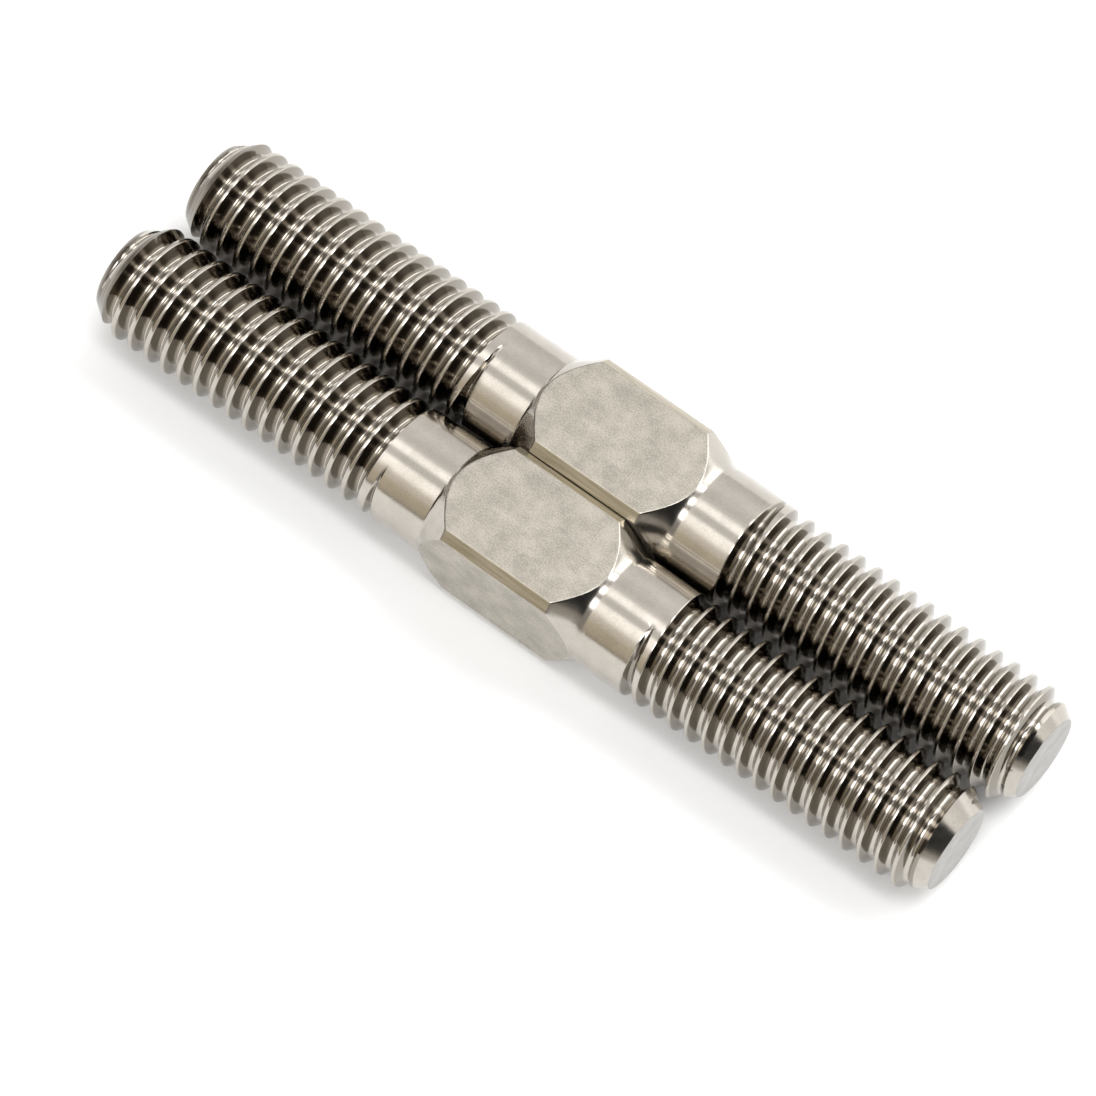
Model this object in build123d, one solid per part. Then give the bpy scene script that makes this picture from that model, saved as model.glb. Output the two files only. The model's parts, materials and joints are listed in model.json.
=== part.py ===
from build123d import *
import math
import os

# Two identical adjusting rods (turnbuckles) lying side by side, wrench blocks face to face.
# Each rod is one piece of titanium bar: a square wrench block in the middle, a plain shank on
# each side of it, a left-hand thread out to the -X end and a right-hand thread out to the +X end.
# Frame: X runs along the rods, Z is up, the blocks rest on Z = 0, Y = 0 is the gap between them.
# All lengths are in millimetres.

# Driving dimensions
THREAD_SIZE = 3.0            # M3, major diameter of both threads and of the left shank
PITCH = 0.5                  # M3 coarse pitch
ROD_LENGTH = 24.82           # over both end faces
BAR_DIAMETER = 4.04          # round bar that the rod is turned from, left on the block's corners
BLOCK_WIDTH = 3.08           # across the milled flats
CORNER_LENGTH = 3.12         # length of the round corner strips of the block
CONE_ANGLE = 36.5            # shoulder cones of the block, in degrees to the axis
RIGHT_SHANK_DIAMETER = 3.036 # plain shank on the +X side
RIGHT_SHANK_START = 2.5      # from here, with a neck of thread size between it and the block,
RIGHT_SHANK_END = 3.7        # to here, where the thread's blank takes over; both from mid block
END_ANGLE = 35.0             # lead-in chamfer at both ends, in degrees to the axis
END_FACE_DIAMETER = 2.18     # flat end face inside the chamfer
BLOCK_GAP = 0.02             # between the two blocks' facing flats
ROD_OFFSET = 0.24            # the rear rod lies this much further towards +X than the front one

# Thread form
THREAD_DEPTH = 0.27
CREST_FLAT = 0.09
FLANK_ANGLE = 30.0
RUN_OUT_TURN = 0.22          # part of a turn from the groove's tip to its full depth
CUTTER_PROUD = 0.045         # how far the groove cutter stands above the crests
CORE_END = 3.0               # the threaded ends are joined to the middle here, from mid block
BLANK_BACK = 1.1             # the blank of a threaded end runs from here, short of full depth,
BLANK_AHEAD = 9.1            # to here, past full depth and past the rod's end
GROOVE_AHEAD = 9.9           # end of the groove cutter, past full depth
SEAM_ANGLE = 10.0            # keeps the seam of the blank away from the groove's start

# Where each thread groove begins in the shank: distance from mid block, and angle about +X from +Y
GROOVE_TIP = {
    "front": {"left": (3.74, 123.0), "right": (3.80, 100.0)},
    "rear": {"left": (3.71, 80.0), "right": (3.86, 15.0)},
}

# Worked out from the dimensions above
SHANK_RADIUS = THREAD_SIZE / 2
BAR_RADIUS = BAR_DIAMETER / 2
END_RADIUS = END_FACE_DIAMETER / 2
HALF_LENGTH = ROD_LENGTH / 2
CORNER_END = CORNER_LENGTH / 2
CONE_END = CORNER_END + (BAR_RADIUS - SHANK_RADIUS) / math.tan(math.radians(CONE_ANGLE))
AXIS_Y = (BLOCK_WIDTH + BLOCK_GAP) / 2
AXIS_Z = BLOCK_WIDTH / 2
ALONG_X = Plane(origin=(0, 0, 0), x_dir=(0, 1, 0), z_dir=(1, 0, 0))


def wrench_block():
    """Middle of a rod: the turned bar with its two cones and shanks, milled to a square."""
    outline = Polyline(
        (-CORE_END, 0),
        (-CORE_END, SHANK_RADIUS),
        (-CONE_END, SHANK_RADIUS),
        (-CORNER_END, BAR_RADIUS),
        (CORNER_END, BAR_RADIUS),
        (CONE_END, SHANK_RADIUS),
        (RIGHT_SHANK_START, SHANK_RADIUS),
        (RIGHT_SHANK_START, RIGHT_SHANK_DIAMETER / 2),
        (RIGHT_SHANK_END, RIGHT_SHANK_DIAMETER / 2),
        (RIGHT_SHANK_END, 0),
        close=True,
    )
    turned = revolve(make_face(outline), Axis.X)
    return turned & Box(2 * HALF_LENGTH, BLOCK_WIDTH, BLOCK_WIDTH)


def groove_section():
    """Section of the thread groove, at angle 0: flat root, 60 degrees between the flanks."""
    slope = math.tan(math.radians(FLANK_ANGLE))
    half_top = (PITCH - CREST_FLAT) / 2 + CUTTER_PROUD * slope
    half_root = half_top - (THREAD_DEPTH + CUTTER_PROUD) * slope
    outline = Polyline(
        (-THREAD_DEPTH, -half_root),
        (-THREAD_DEPTH, half_root),
        (CUTTER_PROUD, half_top),
        (CUTTER_PROUD, -half_top),
        close=True,
    )
    across_groove = Plane(origin=(SHANK_RADIUS, 0, 0), x_dir=(1, 0, 0), z_dir=(0, -1, 0))
    return across_groove * make_face(outline)


def groove_cutter():
    """Right-hand groove along +Z, from full depth at angle 0 and Z = 0 past the rod's end."""
    path = Helix(PITCH, GROOVE_AHEAD, SHANK_RADIUS)
    return sweep(groove_section(), path=path, is_frenet=True)


def run_out_cutter():
    """The same groove wound back from its start towards the block, rising out of the shank."""
    rise = THREAD_DEPTH + CUTTER_PROUD
    advance = PITCH * RUN_OUT_TURN
    slant = math.atan2(rise, advance)
    path = Helix(PITCH / math.cos(slant), advance, SHANK_RADIUS, cone_angle=math.degrees(slant))
    return sweep(groove_section(), path=path, is_frenet=True).rotate(Axis.X, 180)


def threaded_blank():
    """Plain bar with the groove cut in it, along +Z, with full depth at angle 0 and Z = 0."""
    length = BLANK_BACK + BLANK_AHEAD
    bar = Cylinder(SHANK_RADIUS, length, align=(Align.CENTER, Align.CENTER, Align.MIN))
    bar = bar.rotate(Axis.Z, SEAM_ANGLE).moved(Location((0, 0, -BLANK_BACK)))
    threaded = bar - groove_cutter() - run_out_cutter()
    assert threaded.volume < 0.85 * bar.volume, "the thread was not cut"
    return threaded


def threaded_end(groove_tip, tip_angle):
    """Right-hand threaded end of a rod along +X, chamfered where it ends."""
    outer = SHANK_RADIUS + 0.2
    chamfer_start = HALF_LENGTH - (outer - END_RADIUS) / math.tan(math.radians(END_ANGLE))
    outline = Polyline(
        (0, CORE_END),
        (outer, CORE_END),
        (outer, chamfer_start),
        (END_RADIUS, HALF_LENGTH),
        (0, HALF_LENGTH),
        close=True,
    )
    envelope = revolve(Plane.XZ * make_face(outline), Axis.Z)
    full_depth = groove_tip + PITCH * RUN_OUT_TURN
    end = threaded_blank().moved(Location((0, 0, full_depth))) & envelope
    return ALONG_X * end.rotate(Axis.Z, tip_angle + 360 * RUN_OUT_TURN)


def adjusting_rod(groove_tips):
    """One complete rod about the X axis: block, right-hand end, mirrored left-hand end."""
    right = threaded_end(*groove_tips["right"])
    left = mirror(threaded_end(*groove_tips["left"]), about=Plane.YZ)
    return wrench_block() + right + left


def placed(rod, side):
    """A rod laid on its block; side is -1 for the front one and +1 for the rear one."""
    return rod.moved(Location((side * ROD_OFFSET / 2, side * AXIS_Y, AXIS_Z)))


os.makedirs("parts", exist_ok=True)
export_step(placed(adjusting_rod(GROOVE_TIP["front"]), -1), "parts/turnbuckle_front.step")
export_step(placed(adjusting_rod(GROOVE_TIP["rear"]), 1), "parts/turnbuckle_rear.step")
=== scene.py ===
import json
import math

import bpy
import numpy as np
from mathutils import Matrix, Vector


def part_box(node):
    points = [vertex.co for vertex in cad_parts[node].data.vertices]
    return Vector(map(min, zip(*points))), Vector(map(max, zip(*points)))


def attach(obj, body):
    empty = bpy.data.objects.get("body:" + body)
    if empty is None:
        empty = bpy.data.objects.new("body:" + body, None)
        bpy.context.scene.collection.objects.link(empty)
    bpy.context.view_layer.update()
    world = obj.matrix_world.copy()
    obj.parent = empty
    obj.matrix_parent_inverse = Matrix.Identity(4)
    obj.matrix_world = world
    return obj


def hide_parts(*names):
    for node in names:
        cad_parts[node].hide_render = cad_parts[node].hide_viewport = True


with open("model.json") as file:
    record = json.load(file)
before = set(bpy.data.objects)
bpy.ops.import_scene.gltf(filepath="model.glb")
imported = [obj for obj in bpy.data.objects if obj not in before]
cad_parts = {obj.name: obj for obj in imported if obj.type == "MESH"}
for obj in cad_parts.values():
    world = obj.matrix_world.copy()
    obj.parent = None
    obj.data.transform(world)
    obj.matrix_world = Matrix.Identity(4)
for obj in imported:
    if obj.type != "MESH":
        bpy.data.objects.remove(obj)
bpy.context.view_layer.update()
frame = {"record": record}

# Two titanium adjusting rods side by side. Each one is rebuilt as a single closed mesh in polar
# form: a radius for every place x along the axis and every angle round it, about +X from +Y.
# Lengths are in metres, apart from the mesh rows below that are given in millimetres.

MM = 0.001
MOUNTS = {mount["name"]: mount for mount in frame["record"]["mounts"]}

# Sizes taken from the frame
ROD_BOX = {rod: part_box("turnbuckle_" + rod) for rod in ("front", "rear")}
FRONT_LOW, FRONT_HIGH = ROD_BOX["front"]
HALF_LENGTH = (FRONT_HIGH.x - FRONT_LOW.x) / 2
BLOCK_HALF = (FRONT_HIGH.z - FRONT_LOW.z) / 2
SHANK = MOUNTS["front_left_thread"]["dims"]["r_mm"] * MM

# Sizes of the rods
PITCH = 0.5 * MM
BAR = 2.02 * MM
CORNER_END = 1.56 * MM
CONE_SLOPE = math.tan(math.radians(36.5))
CONE_END = CORNER_END + (BAR - SHANK) / CONE_SLOPE
END_RADIUS = 1.09 * MM
END_SLOPE = math.tan(math.radians(35))
EDGE_ROUND = 0.015 * MM

# The +X side has a neck beside the block, filleted to the cone, and then a thicker shank, which
# thins to the size of the thread between the last two distances from mid block
NECK = 1.485 * MM
NECK_FILLET = 0.11 * MM
RIGHT_SHANK = 1.518 * MM
RIGHT_SHANK_START = 2.5 * MM
RIGHT_SHANK_END = (3.2 * MM, 4.4 * MM)

# Thread form on each side, -1 or +1: width of the crest and radius of the root. The flanks have
# the slope FLANK, and the round root is ROOT_SPAN of its radius wide on each side of its middle.
THREAD_FORM = {-1: (0.105 * MM, 0.034 * MM), 1: (0.075 * MM, 0.1 * MM)}
FLANK = 1 / math.tan(math.radians(30))
ROOT_SPAN = math.cos(math.radians(30))
CREST_ROUND = 0.01 * MM

# A groove fades in over this part of a turn, and its depth grows with this power of the way
RUN_OUT = 0.24
RUN_OUT_POWER = 1.2

# Mesh of a thread: its helical rows run between these two distances from mid block, and stop
# this far short of the rings there
THREAD_FROM = 2.9 * MM
THREAD_TO = HALF_LENGTH - 0.1 * MM
RING_MARGIN = 0.002 * MM

# Edges with more than this between their faces are shaded sharp
SHARP_ANGLE = math.radians(38)

# Mesh columns, in degrees: how many a flat has and how far they stay inside its edges, the ones
# beside each edge as offsets from it, and the two in the middle of a corner strip
FLAT_COLUMNS = 17
FLAT_INSET = 1.8
EDGE_COLUMNS = (-1.0, -0.35, 0.0, 0.35, 1.0)
STRIP_COLUMNS = (45 - 1.3, 45 + 1.3)

# Mesh rows of the middle: shares of the flat and of the cone, and distances in millimetres from
# the flat's end, the cone's end, mid block, the cone's end and the step up to the thicker shank
FLAT_ROWS = (0.25, 0.5, 0.75)
CONE_ROWS = (0, 0.06, 0.14, 0.28, 0.5, 0.75, 0.92, 1)
FLAT_END_ROWS = (0.09, 0.05, 0.028, 0.012)
LEFT_SHANK_ROWS = (0.008, 0.02, 0.08)
LAST_LEFT_ROW = 2.6
FILLET_ROWS = (0.03, 0.06, 0.09, 0.12, 0.15, 0.18)
STEP_ROWS = (-0.03, -0.008, -0.001, 0.001, 0.004, 0.012, 0.1)

# Mesh rows of a thread: angles round the root, shares of the flank, and the least distance from
# the groove's middle to its edge
ROOT_ROWS = (20, 40, 60)
FLANK_ROWS = (0.08, 0.92)
LEAST_EDGE = 0.05 * MM

# Mesh rows of the chamfer, in millimetres from the end, and of the end face: millimetres from the
# end, and share of the face's radius
CHAMFER_ROWS = (0.05, 0.02, 0.006)
FACE_ROWS = ((0.0015, 0.997), (0, 0.99), (0, 0.93), (0, 0.75), (0, 0.5), (0, 0.25), (0, 0.08))

# Where each thread groove begins: distance from mid block, and angle in turns
GROOVE_TIP = {
    "front": {-1: (3.74 * MM, 123 / 360), 1: (3.80 * MM, 100 / 360)},
    "rear": {-1: (3.71 * MM, 80 / 360), 1: (3.86 * MM, 15 / 360)},
}

# Kinds of surface, in the order of a rod's material slots
SURFACES = (
    "milled_flat",
    "corner_strip",
    "turned_shank",
    "thread",
    "left_chamfer",
    "right_chamfer",
    "end_face",
    "neck",
)


def soft_min(a, b, blend):
    """The smaller of a and b, rounded over where they differ by less than blend."""
    near = np.maximum(blend - np.abs(a - b), 0) / blend
    return np.minimum(a, b) - near * near * blend / 4


def soft_max(a, b, blend):
    """The larger of a and b, rounded in the same way."""
    return -soft_min(-a, -b, blend)


def column_angles():
    """Angles of the mesh columns, closer together where the flats meet the corner strips."""
    edge = math.degrees(math.acos(BLOCK_HALF / BAR))
    flat = list(np.linspace(FLAT_INSET - edge, edge - FLAT_INSET, FLAT_COLUMNS))
    rim = [edge + offset for offset in EDGE_COLUMNS]
    next_rim = [90 - angle for angle in reversed(rim)]
    quarter = flat + rim + list(STRIP_COLUMNS) + next_rim
    return np.radians([90 * q + angle for q in range(4) for angle in quarter])


ANGLES = column_angles()
COLUMNS = len(ANGLES)


def flat_radius(angle):
    """Distance from the axis to the milled square at an angle."""
    return BLOCK_HALF / np.maximum(np.abs(np.cos(angle)), np.abs(np.sin(angle)))


def shank_radius(x):
    """Plain shank: on the +X side a neck, a small step up to a thicker part, and thinner again."""
    start, end = RIGHT_SHANK_END
    share = np.clip((x - start) / (end - start), 0, 1)
    right = RIGHT_SHANK + (SHANK - RIGHT_SHANK) * share
    return np.where(x < 0, SHANK, np.where(x < RIGHT_SHANK_START, NECK, right))


def block_radius(x, angle):
    """Middle of the rod: bar, cones and plain shanks as turned, milled to a square."""
    cone = BAR - (np.abs(x) - CORNER_END) * CONE_SLOPE
    shoulder = soft_max(cone, shank_radius(x), np.where(x < 0, EDGE_ROUND, NECK_FILLET))
    turned_bar = soft_min(np.full_like(x, BAR), shoulder, EDGE_ROUND)
    return soft_min(turned_bar, flat_radius(angle), EDGE_ROUND)


def groove_sizes(form):
    """Depth of a full groove, and the distances from its middle to the foot and top of a flank."""
    crest, root = form
    foot = root * ROOT_SPAN
    top = (PITCH - crest) / 2
    return root / 2 + (top - foot) * FLANK, foot, top


def groove_height(across, form):
    """Height over the crests of an endless groove, at a distance from its middle."""
    depth, foot, _ = groove_sizes(form)
    root = form[1]
    bend = root - np.sqrt(root ** 2 - np.minimum(across, foot) ** 2)
    return bend - depth + np.maximum(across - foot, 0) * FLANK


def run_out_lift(wound, form):
    """How far the groove is raised where it fades out; wound is in turns from its full depth."""
    depth = groove_sizes(form)[0]
    return depth * (1 - np.clip(1 + wound / RUN_OUT, 0, 1) ** RUN_OUT_POWER)


def groove_edge(wound, form):
    """Distance from the groove's middle to its edge on the crest."""
    depth, _, top = groove_sizes(form)
    root = form[1]
    lift = run_out_lift(wound, form)
    left = np.clip(depth - lift, 0, root / 2)
    in_root = np.sqrt(root ** 2 - (root - left) ** 2)
    edge = np.where(depth - lift > root / 2, top - lift / FLANK, in_root)
    return np.where(wound < -RUN_OUT, top, np.maximum(edge, LEAST_EDGE))


def groove_radius(z, across, wound, side):
    """Threaded end at distance z from mid block, by the place across the groove."""
    form = THREAD_FORM[side]
    shank = shank_radius(side * z)
    height = groove_height(np.abs(across), form) + run_out_lift(wound, form)
    height = np.where(wound < -RUN_OUT, PITCH, height)
    thread = shank + soft_min(height, np.zeros_like(height), CREST_ROUND)
    chamfer = END_RADIUS + (HALF_LENGTH - z) * END_SLOPE
    return soft_min(thread, chamfer, EDGE_ROUND / 2)


def thread_offsets(form):
    """Rows over one pitch, from one crest to the next, closer together at crest and root edges."""
    _, foot, top = groove_sizes(form)
    half = [form[1] * math.sin(math.radians(angle)) for angle in ROOT_ROWS]
    half += [foot + (top - foot) * share for share in FLANK_ROWS]
    half += [top + step * CREST_ROUND / FLANK for step in (-1, 0, 1)]
    return np.array([-PITCH / 2] + [-u for u in reversed(half)] + [0.0] + half)


class RodMesh:
    """Collects the vertices and faces of one rod."""

    def __init__(self):
        self.points = []
        self.count = 0
        self.faces = []
        self.surfaces = []

    def add(self, x, radius, angle):
        """Adds points given in polar form and returns their numbers, in the same shape."""
        x, radius, angle = np.broadcast_arrays(x, radius, angle)
        places = np.stack([x, radius * np.cos(angle), radius * np.sin(angle)], -1)
        self.points.append(places.reshape(-1, 3))
        numbers = np.arange(x.size).reshape(x.shape) + self.count
        self.count += x.size
        return numbers

    def skin(self, grid, surface, side=1):
        """Faces over a grid of point numbers, rows outwards; surface is one number or one per face."""
        quads = np.stack([grid[:-1, :-1], grid[:-1, 1:], grid[1:, 1:], grid[1:, :-1]], -1).reshape(-1, 4)
        surface = np.broadcast_to(surface, (grid.shape[0] - 1, grid.shape[1] - 1)).reshape(-1)
        start_shut = quads[:, 0] == quads[:, 3]
        end_shut = quads[:, 1] == quads[:, 2]
        point = quads[:, 2] == quads[:, 3]
        for keep, corners in (
            (~start_shut & ~end_shut & ~point, (0, 1, 2, 3)),
            (start_shut & ~end_shut & ~point, (0, 1, 2)),
            (end_shut & ~start_shut & ~point, (0, 1, 3)),
            (point & ~start_shut & ~end_shut, (0, 1, 2)),
        ):
            order = corners if side > 0 else corners[::-1]
            self.faces += quads[keep][:, order].tolist()
            self.surfaces += surface[keep].tolist()


def closed(grid):
    """A grid of rings with its first column repeated at the end."""
    return np.concatenate([grid, grid[:, :1]], 1)


def middle_rows():
    """Places along X of the mesh rows between the two threaded ends, one column per angle."""
    top = np.minimum(flat_radius(ANGLES), BAR)
    shoulder = CORNER_END + (BAR - top) / CONE_SLOPE
    block = [shoulder * share for share in FLAT_ROWS]
    block += [shoulder - step * MM for step in FLAT_END_ROWS]
    block += [shoulder + share * (CONE_END - shoulder) for share in CONE_ROWS]
    left_shank = [CONE_END + step * MM for step in LEFT_SHANK_ROWS] + [LAST_LEFT_ROW * MM]
    right_shank = [CONE_END + step * MM for step in FILLET_ROWS]
    right_shank += [RIGHT_SHANK_START + step * MM for step in STEP_ROWS]
    left = block + [np.full(COLUMNS, place) for place in left_shank]
    right = block + [np.full(COLUMNS, place) for place in right_shank]
    return np.array([-row for row in reversed(left)] + [np.zeros(COLUMNS)] + right)


def middle_surfaces(rows):
    """Which surface each face of the middle belongs to."""
    centre_x = np.abs(rows[:-1] + rows[1:]) / 2
    steps = np.diff(np.append(ANGLES, ANGLES[0] + 2 * math.pi))
    centre_angle = ANGLES + steps / 2
    centre_x = (centre_x + np.roll(centre_x, -1, 1)) / 2
    flat = flat_radius(centre_angle)
    shoulder = CORNER_END + (BAR - np.minimum(flat, BAR)) / CONE_SLOPE
    surface = np.full(centre_x.shape, SURFACES.index("turned_shank"))
    on_right = (rows[:-1] > 0).all(1)[:, None]
    surface[on_right & (centre_x < RIGHT_SHANK_START)] = SURFACES.index("neck")
    on_block = centre_x < shoulder[None]
    surface[on_block & (flat >= BAR)[None]] = SURFACES.index("corner_strip")
    surface[on_block & (flat < BAR)[None]] = SURFACES.index("milled_flat")
    return surface


def add_middle(mesh):
    """The rod between its two threaded ends; gives the rings where it stops."""
    rows = middle_rows()
    grid = mesh.add(rows, block_radius(rows, ANGLES[None]), ANGLES[None])
    mesh.skin(closed(grid), middle_surfaces(rows))
    return grid[0], grid[-1]


def chamfer_surface(side):
    """Number of the surface of an end's lead-in chamfer."""
    return SURFACES.index("left_chamfer" if side < 0 else "right_chamfer")


def thread_grid(form, tip):
    """Helical rows beside every turn of the groove, on past both ends; one column per angle.

    Gives the distance from mid block, the place across the groove, and the turns from full depth.
    """
    offsets = thread_offsets(form)
    turns = ANGLES / (2 * math.pi)
    tip_place, tip_turn = tip
    full_turn = tip_turn + RUN_OUT
    base = tip_place - tip_turn * PITCH
    lowest = math.floor((THREAD_FROM - base) / PITCH) - 2
    highest = math.ceil((THREAD_TO - base) / PITCH) + 1
    groove = np.repeat(np.arange(lowest, highest + 1), len(offsets))
    offset = np.tile(offsets, highest + 1 - lowest)[:, None]
    wound = groove[:, None] + turns[None] - full_turn
    edge = groove_edge(wound, form)
    top = groove_sizes(form)[2]
    beyond = edge + (np.abs(offset) - top) * (PITCH / 2 - edge) / (PITCH / 2 - top)
    across = np.sign(offset) * np.where(np.abs(offset) < top, np.abs(offset) * edge / top, beyond)
    return base + (groove[:, None] + turns[None]) * PITCH + across, across, wound


def thread_surfaces(side, z, radius, wound):
    """Which surface each face of a threaded end belongs to.

    The thread's own surface begins half a turn ahead of the groove's tip.
    """
    chamfered = END_RADIUS + (HALF_LENGTH - z) * END_SLOPE <= radius + EDGE_ROUND / 4
    chamfered &= np.roll(chamfered, -1, 0)
    surface = np.where(chamfered, chamfer_surface(side), SURFACES.index("thread"))
    return np.where(wound + 0.5 < -RUN_OUT, SURFACES.index("turned_shank"), surface)


def add_threaded_end(mesh, side, tip, shank_ring):
    """One end of the rod, outwards from the ring where the shank stops; side is -1 or +1."""
    form = THREAD_FORM[side]
    first_radius = shank_radius(np.full(COLUMNS, side * THREAD_FROM))
    first = mesh.add(side * THREAD_FROM, first_radius, ANGLES)
    mesh.skin(closed(np.stack([shank_ring, first])), SURFACES.index("turned_shank"), side)
    last_radius = END_RADIUS + (HALF_LENGTH - THREAD_TO) * END_SLOPE
    last = mesh.add(side * THREAD_TO, np.full(COLUMNS, last_radius), ANGLES)

    # Rows are cut off at both rings, and after a full turn each one runs into the row a pitch on
    z, across, wound = thread_grid(form, tip)
    radius = groove_radius(z, across, wound, side)
    angle = np.broadcast_to(ANGLES, z.shape)
    inside = (z > THREAD_FROM + RING_MARGIN) & (z < THREAD_TO - RING_MARGIN)
    grid = np.where(z < (THREAD_FROM + THREAD_TO) / 2, first[None], last[None])
    grid[inside] = mesh.add(side * z[inside], radius[inside], angle[inside])
    per_pitch = len(thread_offsets(form))
    seam = np.append(grid[per_pitch:, 0], np.full(per_pitch, last[0]))
    grid = np.concatenate([grid, seam[:, None]], 1)
    mesh.skin(grid, thread_surfaces(side, z, radius, wound)[:-1], side)
    add_end(mesh, side, last)


def add_end(mesh, side, ring):
    """The rest of the lead-in chamfer and the flat end face."""
    rows = [ring]
    for back in CHAMFER_ROWS:
        radius = END_RADIUS + back * MM * END_SLOPE
        rows.append(mesh.add(side * (HALF_LENGTH - back * MM), np.full(COLUMNS, radius), ANGLES))
    mesh.skin(closed(np.stack(rows)), chamfer_surface(side), side)
    face = [rows[-1]]
    for inset, share in FACE_ROWS:
        place = side * (HALF_LENGTH - inset * MM)
        face.append(mesh.add(place, np.full(COLUMNS, END_RADIUS * share), ANGLES))
    mesh.skin(closed(np.stack(face)), SURFACES.index("end_face"), side)
    centre = mesh.add(side * HALF_LENGTH, 0.0, 0.0)
    mesh.skin(closed(np.stack([face[-1], np.full(COLUMNS, centre)])), SURFACES.index("end_face"), side)


def build_rod(rod, materials):
    """One rod as a single piece, in the place of its CAD solid."""
    low, high = ROD_BOX[rod]
    mesh = RodMesh()
    left_ring, right_ring = add_middle(mesh)
    add_threaded_end(mesh, -1, GROOVE_TIP[rod][-1], left_ring)
    add_threaded_end(mesh, 1, GROOVE_TIP[rod][1], right_ring)
    data = bpy.data.meshes.new(rod + "_rod")
    data.from_pydata(np.concatenate(mesh.points), [], mesh.faces)
    data.update()
    data.validate()
    for surface in SURFACES:
        data.materials.append(materials[surface])
    data.polygons.foreach_set("material_index", np.array(mesh.surfaces, np.int32))
    data.polygons.foreach_set("use_smooth", np.ones(len(mesh.surfaces), bool))
    data.set_sharp_from_angle(angle=SHARP_ANGLE)
    piece = bpy.data.objects.new(rod + "_rod", data)
    bpy.context.scene.collection.objects.link(piece)
    piece.location = (low + high) / 2
    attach(piece, rod + "_rod")
    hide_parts("turnbuckle_" + rod)


class NodeTree:
    """Short calls for adding nodes to a node tree."""

    def __init__(self, tree):
        self.nodes = tree.nodes
        self.links = tree.links

    def put(self, socket, value):
        if isinstance(value, bpy.types.NodeSocket):
            self.links.new(value, socket)
        else:
            socket.default_value = value

    def node(self, kind, **inputs):
        made = self.nodes.new(kind)
        for name, value in inputs.items():
            self.put(made.inputs[name], value)
        return made

    def math(self, operation, first, second=0.0):
        made = self.nodes.new("ShaderNodeMath")
        made.operation = operation
        for socket, value in zip(made.inputs, (first, second)):
            self.put(socket, value)
        return made.outputs[0]

    def spread(self, value, low, high, new_low=0, new_high=1):
        """Maps low..high to new_low..new_high, held at both ends."""
        made = self.nodes.new("ShaderNodeMapRange")
        for socket, number in zip(made.inputs[:5], (value, low, high, new_low, new_high)):
            self.put(socket, number)
        return made.outputs[0]

    def mix(self, share, first, second):
        """Mixes two colours, which are the sockets 6 and 7 of a Mix node."""
        made = self.nodes.new("ShaderNodeMix")
        made.data_type = "RGBA"
        for place, value in ((0, share), (6, first), (7, second)):
            self.put(made.inputs[place], value)
        return made.outputs[2]


class Metal(NodeTree):
    """A bare metal's material. Noise scales are in cycles per metre, bump heights in metres."""

    def __init__(self, name):
        self.material = bpy.data.materials.new(name)
        self.material.use_nodes = True
        super().__init__(self.material.node_tree)
        self.metal = self.nodes["Principled BSDF"]
        self.place = self.nodes.new("ShaderNodeTexCoord").outputs["Object"]
        self.axes = self.node("ShaderNodeSeparateXYZ", Vector=self.place).outputs

    def noise(self, scale, detail, vector=None):
        made = self.node("ShaderNodeTexNoise", Scale=scale, Detail=detail, Vector=vector or self.place)
        return made.outputs["Fac"]

    def rings(self, scale, along):
        """Noise that depends on one value only, for the lines left by a lathe tool."""
        made = self.node("ShaderNodeTexNoise", Scale=scale, Detail=2.0)
        made.noise_dimensions = "1D"
        self.put(made.inputs["W"], along)
        return made.outputs["Fac"]

    def stretched(self, x, y, z):
        """Object coordinates scaled along each axis, for streaks."""
        return self.node("ShaderNodeMapping", Vector=self.place, Scale=(x, y, z)).outputs[0]

    def blend(self, first, second, share):
        """Two noises added up; share is that of the second one."""
        rest = self.math("MULTIPLY", first, 1 - share)
        return self.math("ADD", rest, self.math("MULTIPLY", second, share))

    def radius(self):
        """Distance from the rod's axis."""
        squares = [self.math("POWER", self.axes[axis], 2.0) for axis in (1, 2)]
        return self.math("SQRT", self.math("ADD", *squares))

    def bump(self, height, distance):
        made = self.node("ShaderNodeBump", Strength=1.0, Distance=distance, Height=height)
        self.put(self.metal.inputs["Normal"], made.outputs[0])

    def finish(self, colour, roughness):
        self.metal.inputs["Metallic"].default_value = 1.0
        self.put(self.metal.inputs["Base Color"], colour)
        self.put(self.metal.inputs["Roughness"], roughness)
        return self.material


# Colours of the surfaces
TITANIUM = (0.53, 0.495, 0.445, 1)
TITANIUM_DULL = (0.46, 0.43, 0.385, 1)
# Darker metal painted in as shade: on the thread flanks deep in the grooves, and as the lighter rings of
# the left-hand chamfers
PAINTED_SHADE_METAL = (0.28, 0.255, 0.22, 1)
FLAT_LIGHT = (0.55, 0.515, 0.453, 1)
FLAT_DARK = (0.335, 0.312, 0.27, 1)
STRAW = (0.54, 0.49, 0.40, 1)
STRAW_DARK = (0.40, 0.365, 0.29, 1)
# Painted dark reflection on the left-hand chamfers, standing for the dark room they mirror on that side
CHAMFER_PAINTED_SHADE = (0.14, 0.12, 0.10, 1)
FACE_LIGHT = (0.49, 0.48, 0.465, 1)
FACE_DARK = (0.385, 0.375, 0.36, 1)
FLOOR_COLOUR = (0.97, 0.98, 0.99, 1)


def milled_flat():
    """Satin face with faint cloudy patches and fine cutter marks."""
    shader = Metal("milled_flat")
    cloud = shader.noise(2200, 6)
    marks = shader.noise(9000, 3, shader.stretched(0.25, 1, 1))
    grain = shader.noise(26000, 3)
    patches = shader.spread(shader.blend(cloud, grain, 0.6), 0.38, 0.62)
    colour = shader.mix(patches, FLAT_DARK, FLAT_LIGHT)
    shader.bump(shader.math("ADD", grain, shader.math("MULTIPLY", marks, 0.8)), 1.8e-6)
    return shader.finish(colour, shader.spread(marks, 0.3, 0.7, 0.32, 0.46))


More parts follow.
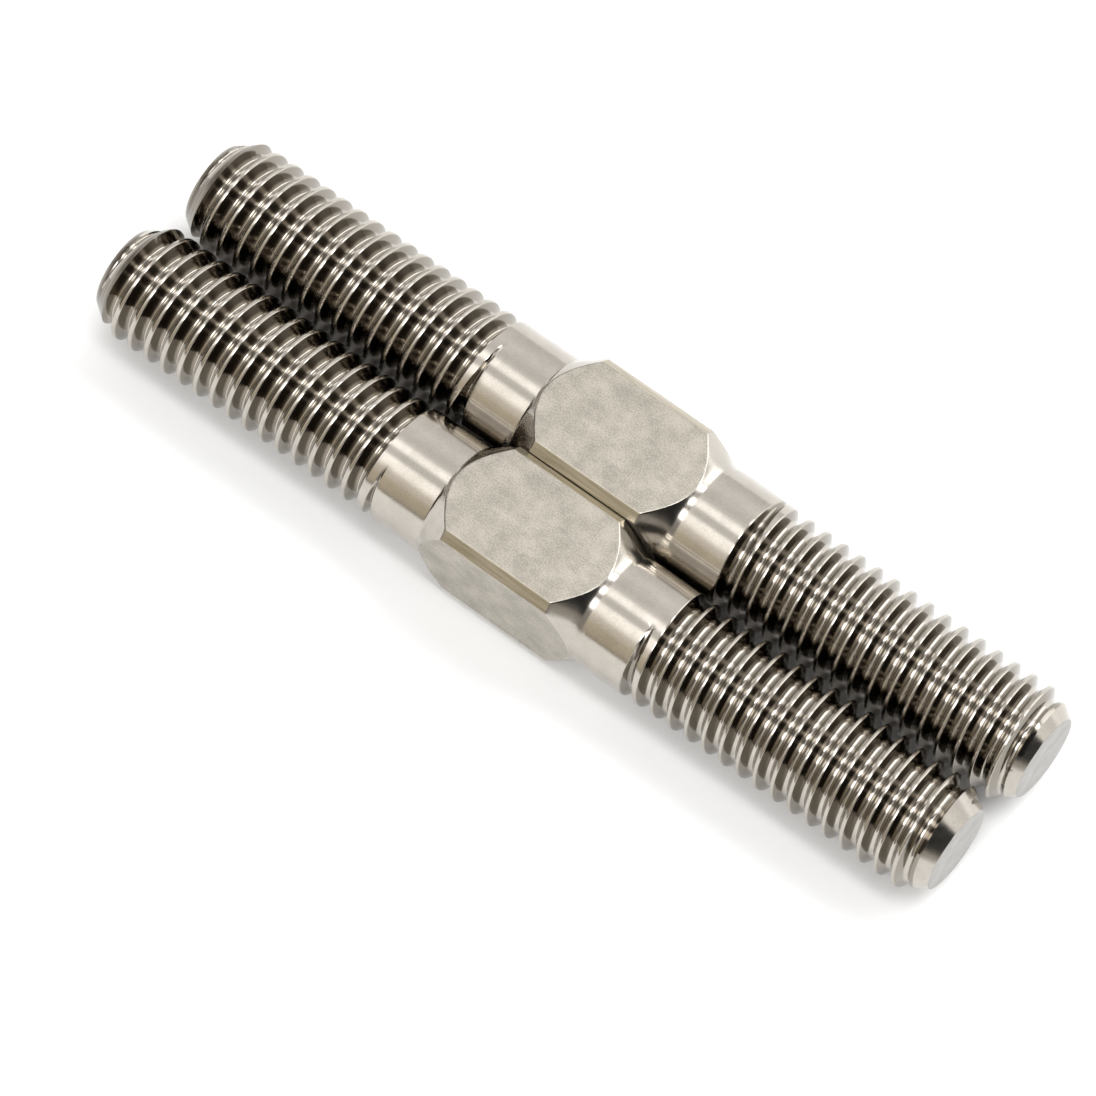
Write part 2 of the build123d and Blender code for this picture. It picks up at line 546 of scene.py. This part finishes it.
def corner_strip():
    """What is left of the drawn bar: straw-coloured, with streaks along it."""
    shader = Metal("corner_strip")
    streaks = shader.noise(12000, 4, shader.stretched(0.06, 1, 1))
    colour = shader.mix(shader.spread(streaks, 0.38, 0.62), STRAW_DARK, STRAW)
    shader.bump(streaks, 0.6e-6)
    return shader.finish(colour, shader.spread(streaks, 0.3, 0.7, 0.24, 0.38))


def turned(name, low, high):
    """Bright turned surface with fine rings left by the tool; low and high are its roughness."""
    shader = Metal(name)
    rings = shader.noise(30000, 2, shader.stretched(1, 0.01, 0.01))
    cloud = shader.noise(2500, 4)
    grain = shader.noise(26000, 2)
    patches = shader.spread(shader.blend(cloud, grain, 0.5), 0.38, 0.62)
    colour = shader.mix(patches, TITANIUM, TITANIUM_DULL)
    shader.bump(shader.math("ADD", rings, grain), 0.3e-6)
    return shader.finish(colour, shader.spread(cloud, 0.3, 0.7, low, high))


def left_chamfer():
    """Lead-in chamfer of the left-hand end: darkened with a painted dark reflection and shade, with
    coarse rings left by the tool.
    """
    shader = Metal("left_chamfer")
    rings = shader.rings(9000, shader.axes[0])
    # The chamfer's dark colours are a painted dark reflection, not the metal's own tone
    colour = shader.mix(shader.spread(rings, 0.40, 0.62), CHAMFER_PAINTED_SHADE, PAINTED_SHADE_METAL)
    shader.bump(rings, 2.5e-6)
    return shader.finish(colour, 0.2)


def thread():
    """Bright crests and roots, flanks darkened with painted shade of the groove, and fine tool lines
    wound along the groove.
    """
    shader = Metal("thread")
    angle = shader.math("ARCTAN2", shader.axes[2], shader.axes[1])
    side = shader.math("SIGN", shader.axes[0])
    wound = shader.math("MULTIPLY", shader.math("MULTIPLY", angle, side), PITCH / (2 * math.pi))
    lines = shader.rings(45000, shader.math("SUBTRACT", shader.axes[0], wound))
    cloud = shader.spread(shader.noise(3000, 4), 0.35, 0.75)
    depth = shader.math("SUBTRACT", SHANK, shader.radius())
    below_crest = shader.spread(depth, 0.004 * MM, 0.03 * MM)
    above_root = shader.spread(depth, 0.20 * MM, 0.25 * MM, 1, 0)
    # Mask of the flanks, which get painted shade
    painted_shade_flank = shader.math("MULTIPLY", below_crest, above_root)
    colour = shader.mix(painted_shade_flank, shader.mix(cloud, TITANIUM, TITANIUM_DULL), PAINTED_SHADE_METAL)
    shader.bump(lines, 0.4e-6)
    return shader.finish(colour, shader.spread(depth, 0, 0.2 * MM, 0.14, 0.10))


def end_face():
    """Dull faced-off end with rings round the middle."""
    shader = Metal("end_face")
    colour = shader.mix(shader.spread(shader.noise(2500, 5), 0.3, 0.7), FACE_LIGHT, FACE_DARK)
    shader.bump(shader.rings(22000, shader.radius()), 0.5e-6)
    return shader.finish(colour, 0.5)


def make_floor():
    """A plain white table, with its top at Z = 0."""
    half = 3.0
    corners = [(x * half, y * half, 0) for x, y in ((-1, -1), (1, -1), (1, 1), (-1, 1))]
    data = bpy.data.meshes.new("floor")
    data.from_pydata(corners, [], [(0, 1, 2, 3)])
    floor = bpy.data.objects.new("floor", data)
    bpy.context.scene.collection.objects.link(floor)
    material = bpy.data.materials.new("white_table")
    material.use_nodes = True
    table = material.node_tree.nodes["Principled BSDF"]
    table.inputs["Base Color"].default_value = FLOOR_COLOUR
    table.inputs["Roughness"].default_value = 0.6
    table.inputs["Specular IOR Level"].default_value = 0.2
    data.materials.append(material)


# Light of the room by the angle from the +Y horizon over the top to the -Y horizon, in degrees.
# Lamps hang as long strips beside the rods: soft ones a little towards -X (MIDDLE_LIGHT), and
# stronger ones from overhead towards +X (KEY_LIGHT). Low towards -X the room is dark with a few
# narrow lamps (LEFT_LIGHT), and low towards +X there is a black screen (RIGHT_LIGHT).
MIDDLE_LIGHT = (
    (0, (0.87, 0.86, 0.84)),
    (40, (1.14, 1.13, 1.11)),
    (66, (0.92, 0.91, 0.90)),
    (76, (1.10, 1.08, 1.06)),
    (83, (2.00, 1.98, 1.95)),
    (92, (2.00, 1.98, 1.95)),
    (97, (0.95, 0.93, 0.90)),
    (109, (0.95, 0.93, 0.90)),
    (113, (1.95, 1.92, 1.88)),
    (127, (1.85, 1.81, 1.75)),
    (137, (1.05, 0.99, 0.90)),
    (154, (0.76, 0.68, 0.54)),
    (174, (0.62, 0.55, 0.44)),
    (179, (0.35, 0.31, 0.25)),
)
LEFT_LIGHT = (
    (0, (0.60, 0.57, 0.54)),
    (20, (0.36, 0.32, 0.28)),
    (50, (0.28, 0.24, 0.21)),
    (54, (1.90, 1.86, 1.82)),
    (61, (1.90, 1.86, 1.82)),
    (65, (0.16, 0.14, 0.12)),
    (86, (0.12, 0.10, 0.08)),
    (89, (2.40, 2.35, 2.30)),
    (93, (2.40, 2.35, 2.30)),
    (96, (0.06, 0.05, 0.04)),
    (114, (0.06, 0.05, 0.04)),
    (118, (0.60, 0.55, 0.50)),
    (124, (0.07, 0.06, 0.05)),
    (160, (0.05, 0.04, 0.03)),
)
RIGHT_LIGHT = (
    (0, (0.80, 0.79, 0.78)),
    (56, (1.40, 1.38, 1.35)),
    (64, (1.40, 1.38, 1.35)),
    (68, (0.02, 0.02, 0.02)),
    (150, (0.02, 0.02, 0.02)),
    (164, (0.45, 0.42, 0.38)),
)
KEY_LIGHT = (
    (0, (2.60, 2.60, 2.60)),
    (44, (2.60, 2.60, 2.60)),
    (52, (0.60, 0.60, 0.60)),
    (55, (6.00, 6.00, 6.00)),
    (64, (6.00, 6.00, 6.00)),
    (67, (0.40, 0.39, 0.38)),
    (84, (0.35, 0.33, 0.31)),
    (87, (7.40, 7.40, 7.40)),
    (95, (7.40, 7.40, 7.40)),
    (98, (0.30, 0.28, 0.26)),
    (111, (0.30, 0.28, 0.26)),
    (114, (7.40, 7.40, 7.40)),
    (125, (7.40, 7.40, 7.40)),
    (130, (0.35, 0.33, 0.31)),
)

# X component of a direction where each part of the room begins to show, and where it is all there
LEFT_FROM = (-0.38, -0.48)
RIGHT_FROM = (0.45, 0.60)
KEY_FROM = (-0.10, 0.04)


def make_world():
    """The room around the rods, by direction."""
    world = bpy.data.worlds.new("studio")
    bpy.context.scene.world = world
    world.use_nodes = True
    shader = NodeTree(world.node_tree)
    direction = shader.nodes.new("ShaderNodeTexCoord").outputs["Generated"]
    axes = shader.node("ShaderNodeSeparateXYZ", Vector=direction).outputs
    turn = shader.math("DIVIDE", shader.math("ARCTAN2", axes[2], axes[1]), math.pi)

    def ramp(stops):
        made = shader.node("ShaderNodeValToRGB", Fac=turn)
        elements = made.color_ramp.elements
        while len(elements) < len(stops):
            elements.new(0.5)
        for element, (degrees, colour) in zip(elements, stops):
            element.position = degrees / 180
            element.color = (*colour, 1)
        return made.outputs[0]

    colour = shader.mix(shader.spread(axes[0], *KEY_FROM), ramp(MIDDLE_LIGHT), ramp(KEY_LIGHT))
    colour = shader.mix(shader.spread(axes[0], *LEFT_FROM), colour, ramp(LEFT_LIGHT))
    colour = shader.mix(shader.spread(axes[0], *RIGHT_FROM), colour, ramp(RIGHT_LIGHT))
    shader.put(shader.nodes["Background"].inputs[0], colour)


def make_camera():
    """The viewpoint: steeply from above, in front of the rods and to their right."""
    azimuth, elevation, roll = (math.radians(a) for a in (38.59, 64.66, 0.85))
    distance = 0.17415
    target = Vector((0.07, -1.21, 1.53)) * MM
    level = math.cos(elevation)
    back = Vector((math.sin(azimuth) * level, -math.cos(azimuth) * level, math.sin(elevation)))
    data = bpy.data.cameras.new("camera")
    data.sensor_width = 36
    data.lens = 242.5
    data.clip_start = 0.01
    data.clip_end = 20
    camera = bpy.data.objects.new("camera", data)
    bpy.context.scene.collection.objects.link(camera)
    turn = back.to_track_quat("Z", "Y").to_matrix() @ Matrix.Rotation(-roll, 3, "Z")
    camera.matrix_world = Matrix.Translation(target + back * distance) @ turn.to_4x4()
    bpy.context.scene.camera = camera


make_camera()
MATERIALS = {
    "milled_flat": milled_flat(),
    "corner_strip": corner_strip(),
    "turned_shank": turned("turned_shank", 0.12, 0.17),
    "thread": thread(),
    "left_chamfer": left_chamfer(),
    "right_chamfer": turned("right_chamfer", 0.16, 0.26),
    "end_face": end_face(),
    "neck": turned("neck", 0.15, 0.21),
}
for rod in ("front", "rear"):
    build_rod(rod, MATERIALS)
make_floor()
make_world()
bpy.context.scene.view_settings.view_transform = "Standard"
